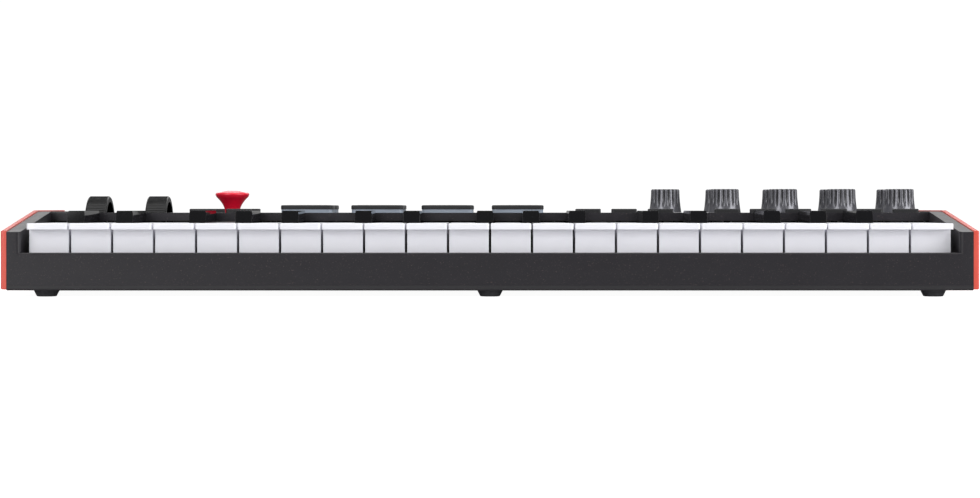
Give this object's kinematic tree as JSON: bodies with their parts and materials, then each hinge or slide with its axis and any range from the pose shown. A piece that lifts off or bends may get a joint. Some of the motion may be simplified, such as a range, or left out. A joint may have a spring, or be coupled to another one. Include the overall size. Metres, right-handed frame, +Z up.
{
  "type": "midi keyboard controller",
  "caption": "Compact keyboard controller with sprung mini keys, drum pads, fluted knobs, thumb wheels and a joystick in a wedge casing with end cheeks.",
  "frame": {"origin": "on the table under the middle of the casing", "axes": "+X to the player's right, +Y away from the player, +Z up"},
  "size_m": [0.498, 0.179, 0.056],
  "materials": {
    "white_key": "gloss",
    "black_key": "satin",
    "knob": "gloss",
    "wheel": "ribbed",
    "joystick": "gloss",
    "gimbal": "satin",
    "pad": "matte",
    "button": "matte",
    "casing": "fine texture",
    "cover": "satin",
    "cheek": "semi gloss",
    "frame": "satin",
    "board": "satin",
    "socket": "satin",
    "foot": "matte",
    "screw": "black zinc"
  },
  "bodies": {
    "casing": {"top_housing": "casing", "bottom_cover": "cover", "end_cheeks": "cheek", "key_chassis": "frame", "circuit_board": "board", "rear_sockets": "socket", "rubber_feet": "foot", "screws": "screw"},
    "white_key_01": {"white_key_01": "white_key"},
    "white_key_02": {"white_key_02": "white_key"},
    "white_key_03": {"white_key_03": "white_key"},
    "white_key_04": {"white_key_04": "white_key"},
    "white_key_05": {"white_key_05": "white_key"},
    "white_key_06": {"white_key_06": "white_key"},
    "white_key_07": {"white_key_07": "white_key"},
    "white_key_08": {"white_key_08": "white_key"},
    "white_key_09": {"white_key_09": "white_key"},
    "white_key_10": {"white_key_10": "white_key"},
    "white_key_11": {"white_key_11": "white_key"},
    "white_key_12": {"white_key_12": "white_key"},
    "white_key_13": {"white_key_13": "white_key"},
    "white_key_14": {"white_key_14": "white_key"},
    "white_key_15": {"white_key_15": "white_key"},
    "white_key_16": {"white_key_16": "white_key"},
    "white_key_17": {"white_key_17": "white_key"},
    "white_key_18": {"white_key_18": "white_key"},
    "white_key_19": {"white_key_19": "white_key"},
    "white_key_20": {"white_key_20": "white_key"},
    "white_key_21": {"white_key_21": "white_key"},
    "white_key_22": {"white_key_22": "white_key"},
    "black_key_01": {"black_key_01": "black_key"},
    "black_key_02": {"black_key_02": "black_key"},
    "black_key_03": {"black_key_03": "black_key"},
    "black_key_04": {"black_key_04": "black_key"},
    "black_key_05": {"black_key_05": "black_key"},
    "black_key_06": {"black_key_06": "black_key"},
    "black_key_07": {"black_key_07": "black_key"},
    "black_key_08": {"black_key_08": "black_key"},
    "black_key_09": {"black_key_09": "black_key"},
    "black_key_10": {"black_key_10": "black_key"},
    "black_key_11": {"black_key_11": "black_key"},
    "black_key_12": {"black_key_12": "black_key"},
    "black_key_13": {"black_key_13": "black_key"},
    "black_key_14": {"black_key_14": "black_key"},
    "black_key_15": {"black_key_15": "black_key"},
    "knob_1": {"knob_1": "knob"},
    "knob_2": {"knob_2": "knob"},
    "knob_3": {"knob_3": "knob"},
    "knob_4": {"knob_4": "knob"},
    "knob_5": {"knob_5": "knob"},
    "knob_6": {"knob_6": "knob"},
    "knob_7": {"knob_7": "knob"},
    "knob_8": {"knob_8": "knob"},
    "encoder_knob": {"encoder_knob": "knob"},
    "pitch_wheel": {"pitch_wheel": "wheel"},
    "mod_wheel": {"mod_wheel": "wheel"},
    "gimbal": {"joystick_gimbal": "gimbal"},
    "joystick": {"joystick": "joystick"},
    "drum_pads": {"drum_pads": "pad"},
    "panel_buttons": {"panel_buttons": "button"}
  },
  "joints": [
    {"name": "white_key_01_press", "type": "hinge", "parent": "casing", "child": "white_key_01", "pos_m": [0, 0.001, 0.027], "axis": [1, 0, 0], "range_deg": [0, 3.53], "stiffness_Nm_per_rad": 0.3, "springref_deg": -5.73},
    {"name": "white_key_02_press", "type": "hinge", "parent": "casing", "child": "white_key_02", "pos_m": [0, 0.001, 0.027], "axis": [1, 0, 0], "range_deg": [0, 3.53], "stiffness_Nm_per_rad": 0.3, "springref_deg": -5.73},
    {"name": "white_key_03_press", "type": "hinge", "parent": "casing", "child": "white_key_03", "pos_m": [0, 0.001, 0.027], "axis": [1, 0, 0], "range_deg": [0, 3.53], "stiffness_Nm_per_rad": 0.3, "springref_deg": -5.73},
    {"name": "white_key_04_press", "type": "hinge", "parent": "casing", "child": "white_key_04", "pos_m": [0, 0.001, 0.027], "axis": [1, 0, 0], "range_deg": [0, 3.53], "stiffness_Nm_per_rad": 0.3, "springref_deg": -5.73},
    {"name": "white_key_05_press", "type": "hinge", "parent": "casing", "child": "white_key_05", "pos_m": [0, 0.001, 0.027], "axis": [1, 0, 0], "range_deg": [0, 3.53], "stiffness_Nm_per_rad": 0.3, "springref_deg": -5.73},
    {"name": "white_key_06_press", "type": "hinge", "parent": "casing", "child": "white_key_06", "pos_m": [0, 0.001, 0.027], "axis": [1, 0, 0], "range_deg": [0, 3.53], "stiffness_Nm_per_rad": 0.3, "springref_deg": -5.73},
    {"name": "white_key_07_press", "type": "hinge", "parent": "casing", "child": "white_key_07", "pos_m": [0, 0.001, 0.027], "axis": [1, 0, 0], "range_deg": [0, 3.53], "stiffness_Nm_per_rad": 0.3, "springref_deg": -5.73},
    {"name": "white_key_08_press", "type": "hinge", "parent": "casing", "child": "white_key_08", "pos_m": [0, 0.001, 0.027], "axis": [1, 0, 0], "range_deg": [0, 3.53], "stiffness_Nm_per_rad": 0.3, "springref_deg": -5.73},
    {"name": "white_key_09_press", "type": "hinge", "parent": "casing", "child": "white_key_09", "pos_m": [0, 0.001, 0.027], "axis": [1, 0, 0], "range_deg": [0, 3.53], "stiffness_Nm_per_rad": 0.3, "springref_deg": -5.73},
    {"name": "white_key_10_press", "type": "hinge", "parent": "casing", "child": "white_key_10", "pos_m": [0, 0.001, 0.027], "axis": [1, 0, 0], "range_deg": [0, 3.53], "stiffness_Nm_per_rad": 0.3, "springref_deg": -5.73},
    {"name": "white_key_11_press", "type": "hinge", "parent": "casing", "child": "white_key_11", "pos_m": [0, 0.001, 0.027], "axis": [1, 0, 0], "range_deg": [0, 3.53], "stiffness_Nm_per_rad": 0.3, "springref_deg": -5.73},
    {"name": "white_key_12_press", "type": "hinge", "parent": "casing", "child": "white_key_12", "pos_m": [0, 0.001, 0.027], "axis": [1, 0, 0], "range_deg": [0, 3.53], "stiffness_Nm_per_rad": 0.3, "springref_deg": -5.73},
    {"name": "white_key_13_press", "type": "hinge", "parent": "casing", "child": "white_key_13", "pos_m": [0, 0.001, 0.027], "axis": [1, 0, 0], "range_deg": [0, 3.53], "stiffness_Nm_per_rad": 0.3, "springref_deg": -5.73},
    {"name": "white_key_14_press", "type": "hinge", "parent": "casing", "child": "white_key_14", "pos_m": [0, 0.001, 0.027], "axis": [1, 0, 0], "range_deg": [0, 3.53], "stiffness_Nm_per_rad": 0.3, "springref_deg": -5.73},
    {"name": "white_key_15_press", "type": "hinge", "parent": "casing", "child": "white_key_15", "pos_m": [0, 0.001, 0.027], "axis": [1, 0, 0], "range_deg": [0, 3.53], "stiffness_Nm_per_rad": 0.3, "springref_deg": -5.73},
    {"name": "white_key_16_press", "type": "hinge", "parent": "casing", "child": "white_key_16", "pos_m": [0, 0.001, 0.027], "axis": [1, 0, 0], "range_deg": [0, 3.53], "stiffness_Nm_per_rad": 0.3, "springref_deg": -5.73},
    {"name": "white_key_17_press", "type": "hinge", "parent": "casing", "child": "white_key_17", "pos_m": [0, 0.001, 0.027], "axis": [1, 0, 0], "range_deg": [0, 3.53], "stiffness_Nm_per_rad": 0.3, "springref_deg": -5.73},
    {"name": "white_key_18_press", "type": "hinge", "parent": "casing", "child": "white_key_18", "pos_m": [0, 0.001, 0.027], "axis": [1, 0, 0], "range_deg": [0, 3.53], "stiffness_Nm_per_rad": 0.3, "springref_deg": -5.73},
    {"name": "white_key_19_press", "type": "hinge", "parent": "casing", "child": "white_key_19", "pos_m": [0, 0.001, 0.027], "axis": [1, 0, 0], "range_deg": [0, 3.53], "stiffness_Nm_per_rad": 0.3, "springref_deg": -5.73},
    {"name": "white_key_20_press", "type": "hinge", "parent": "casing", "child": "white_key_20", "pos_m": [0, 0.001, 0.027], "axis": [1, 0, 0], "range_deg": [0, 3.53], "stiffness_Nm_per_rad": 0.3, "springref_deg": -5.73},
    {"name": "white_key_21_press", "type": "hinge", "parent": "casing", "child": "white_key_21", "pos_m": [0, 0.001, 0.027], "axis": [1, 0, 0], "range_deg": [0, 3.53], "stiffness_Nm_per_rad": 0.3, "springref_deg": -5.73},
    {"name": "white_key_22_press", "type": "hinge", "parent": "casing", "child": "white_key_22", "pos_m": [0, 0.001, 0.027], "axis": [1, 0, 0], "range_deg": [0, 3.53], "stiffness_Nm_per_rad": 0.3, "springref_deg": -5.73},
    {"name": "black_key_01_press", "type": "hinge", "parent": "casing", "child": "black_key_01", "pos_m": [0, 0.001, 0.027], "axis": [1, 0, 0], "range_deg": [0, 3.53], "stiffness_Nm_per_rad": 0.3, "springref_deg": -5.73},
    {"name": "black_key_02_press", "type": "hinge", "parent": "casing", "child": "black_key_02", "pos_m": [0, 0.001, 0.027], "axis": [1, 0, 0], "range_deg": [0, 3.53], "stiffness_Nm_per_rad": 0.3, "springref_deg": -5.73},
    {"name": "black_key_03_press", "type": "hinge", "parent": "casing", "child": "black_key_03", "pos_m": [0, 0.001, 0.027], "axis": [1, 0, 0], "range_deg": [0, 3.53], "stiffness_Nm_per_rad": 0.3, "springref_deg": -5.73},
    {"name": "black_key_04_press", "type": "hinge", "parent": "casing", "child": "black_key_04", "pos_m": [0, 0.001, 0.027], "axis": [1, 0, 0], "range_deg": [0, 3.53], "stiffness_Nm_per_rad": 0.3, "springref_deg": -5.73},
    {"name": "black_key_05_press", "type": "hinge", "parent": "casing", "child": "black_key_05", "pos_m": [0, 0.001, 0.027], "axis": [1, 0, 0], "range_deg": [0, 3.53], "stiffness_Nm_per_rad": 0.3, "springref_deg": -5.73},
    {"name": "black_key_06_press", "type": "hinge", "parent": "casing", "child": "black_key_06", "pos_m": [0, 0.001, 0.027], "axis": [1, 0, 0], "range_deg": [0, 3.53], "stiffness_Nm_per_rad": 0.3, "springref_deg": -5.73},
    {"name": "black_key_07_press", "type": "hinge", "parent": "casing", "child": "black_key_07", "pos_m": [0, 0.001, 0.027], "axis": [1, 0, 0], "range_deg": [0, 3.53], "stiffness_Nm_per_rad": 0.3, "springref_deg": -5.73},
    {"name": "black_key_08_press", "type": "hinge", "parent": "casing", "child": "black_key_08", "pos_m": [0, 0.001, 0.027], "axis": [1, 0, 0], "range_deg": [0, 3.53], "stiffness_Nm_per_rad": 0.3, "springref_deg": -5.73},
    {"name": "black_key_09_press", "type": "hinge", "parent": "casing", "child": "black_key_09", "pos_m": [0, 0.001, 0.027], "axis": [1, 0, 0], "range_deg": [0, 3.53], "stiffness_Nm_per_rad": 0.3, "springref_deg": -5.73},
    {"name": "black_key_10_press", "type": "hinge", "parent": "casing", "child": "black_key_10", "pos_m": [0, 0.001, 0.027], "axis": [1, 0, 0], "range_deg": [0, 3.53], "stiffness_Nm_per_rad": 0.3, "springref_deg": -5.73},
    {"name": "black_key_11_press", "type": "hinge", "parent": "casing", "child": "black_key_11", "pos_m": [0, 0.001, 0.027], "axis": [1, 0, 0], "range_deg": [0, 3.53], "stiffness_Nm_per_rad": 0.3, "springref_deg": -5.73},
    {"name": "black_key_12_press", "type": "hinge", "parent": "casing", "child": "black_key_12", "pos_m": [0, 0.001, 0.027], "axis": [1, 0, 0], "range_deg": [0, 3.53], "stiffness_Nm_per_rad": 0.3, "springref_deg": -5.73},
    {"name": "black_key_13_press", "type": "hinge", "parent": "casing", "child": "black_key_13", "pos_m": [0, 0.001, 0.027], "axis": [1, 0, 0], "range_deg": [0, 3.53], "stiffness_Nm_per_rad": 0.3, "springref_deg": -5.73},
    {"name": "black_key_14_press", "type": "hinge", "parent": "casing", "child": "black_key_14", "pos_m": [0, 0.001, 0.027], "axis": [1, 0, 0], "range_deg": [0, 3.53], "stiffness_Nm_per_rad": 0.3, "springref_deg": -5.73},
    {"name": "black_key_15_press", "type": "hinge", "parent": "casing", "child": "black_key_15", "pos_m": [0, 0.001, 0.027], "axis": [1, 0, 0], "range_deg": [0, 3.53], "stiffness_Nm_per_rad": 0.3, "springref_deg": -5.73},
    {"name": "knob_1_turn", "type": "hinge", "parent": "casing", "child": "knob_1", "pos_m": [0.1304, 0.0325, 0.044], "axis": [0, 0, -1], "range_deg": [-140, 140]},
    {"name": "knob_2_turn", "type": "hinge", "parent": "casing", "child": "knob_2", "pos_m": [0.1628, 0.0325, 0.044], "axis": [0, 0, -1], "range_deg": [-140, 140]},
    {"name": "knob_3_turn", "type": "hinge", "parent": "casing", "child": "knob_3", "pos_m": [0.1952, 0.0325, 0.044], "axis": [0, 0, -1], "range_deg": [-140, 140]},
    {"name": "knob_4_turn", "type": "hinge", "parent": "casing", "child": "knob_4", "pos_m": [0.2276, 0.0325, 0.044], "axis": [0, 0, -1], "range_deg": [-140, 140]},
    {"name": "knob_5_turn", "type": "hinge", "parent": "casing", "child": "knob_5", "pos_m": [0.1304, 0.0625, 0.044], "axis": [0, 0, -1], "range_deg": [-140, 140]},
    {"name": "knob_6_turn", "type": "hinge", "parent": "casing", "child": "knob_6", "pos_m": [0.1628, 0.0625, 0.044], "axis": [0, 0, -1], "range_deg": [-140, 140]},
    {"name": "knob_7_turn", "type": "hinge", "parent": "casing", "child": "knob_7", "pos_m": [0.1952, 0.0625, 0.044], "axis": [0, 0, -1], "range_deg": [-140, 140]},
    {"name": "knob_8_turn", "type": "hinge", "parent": "casing", "child": "knob_8", "pos_m": [0.2276, 0.0625, 0.044], "axis": [0, 0, -1], "range_deg": [-140, 140]},
    {"name": "encoder_turn", "type": "hinge", "parent": "casing", "child": "encoder_knob", "pos_m": [0.0985, 0.0475, 0.044], "axis": [0, 0, -1], "continuous": true},
    {"name": "pitch_wheel_turn", "type": "hinge", "parent": "casing", "child": "pitch_wheel", "pos_m": [-0.2185, 0.0425, 0.0322], "axis": [-1, 0, 0], "range_deg": [-45, 45], "stiffness_Nm_per_rad": 0.05},
    {"name": "mod_wheel_turn", "type": "hinge", "parent": "casing", "child": "mod_wheel", "pos_m": [-0.1853, 0.0425, 0.0322], "axis": [-1, 0, 0], "range_deg": [-45, 45]},
    {"name": "joystick_side_tilt", "type": "hinge", "parent": "casing", "child": "gimbal", "pos_m": [-0.1437, 0.0365, 0.0295], "axis": [0, 1, 0], "range_deg": [-15, 15], "stiffness_Nm_per_rad": 0.05},
    {"name": "joystick_fore_aft_tilt", "type": "hinge", "parent": "gimbal", "child": "joystick", "pos_m": [-0.1437, 0.0365, 0.0295], "axis": [1, 0, 0], "range_deg": [-15, 15], "stiffness_Nm_per_rad": 0.05},
    {"name": "pads_press", "type": "slide", "parent": "casing", "child": "drum_pads", "axis": [0, 0, -1], "range_m": [0, 0.0008], "stiffness_N_per_m": 2000, "springref_m": -0.003},
    {"name": "buttons_press", "type": "slide", "parent": "casing", "child": "panel_buttons", "axis": [0, 0, -1], "range_m": [0, 0.0007], "stiffness_N_per_m": 1000, "springref_m": -0.003}
  ]
}
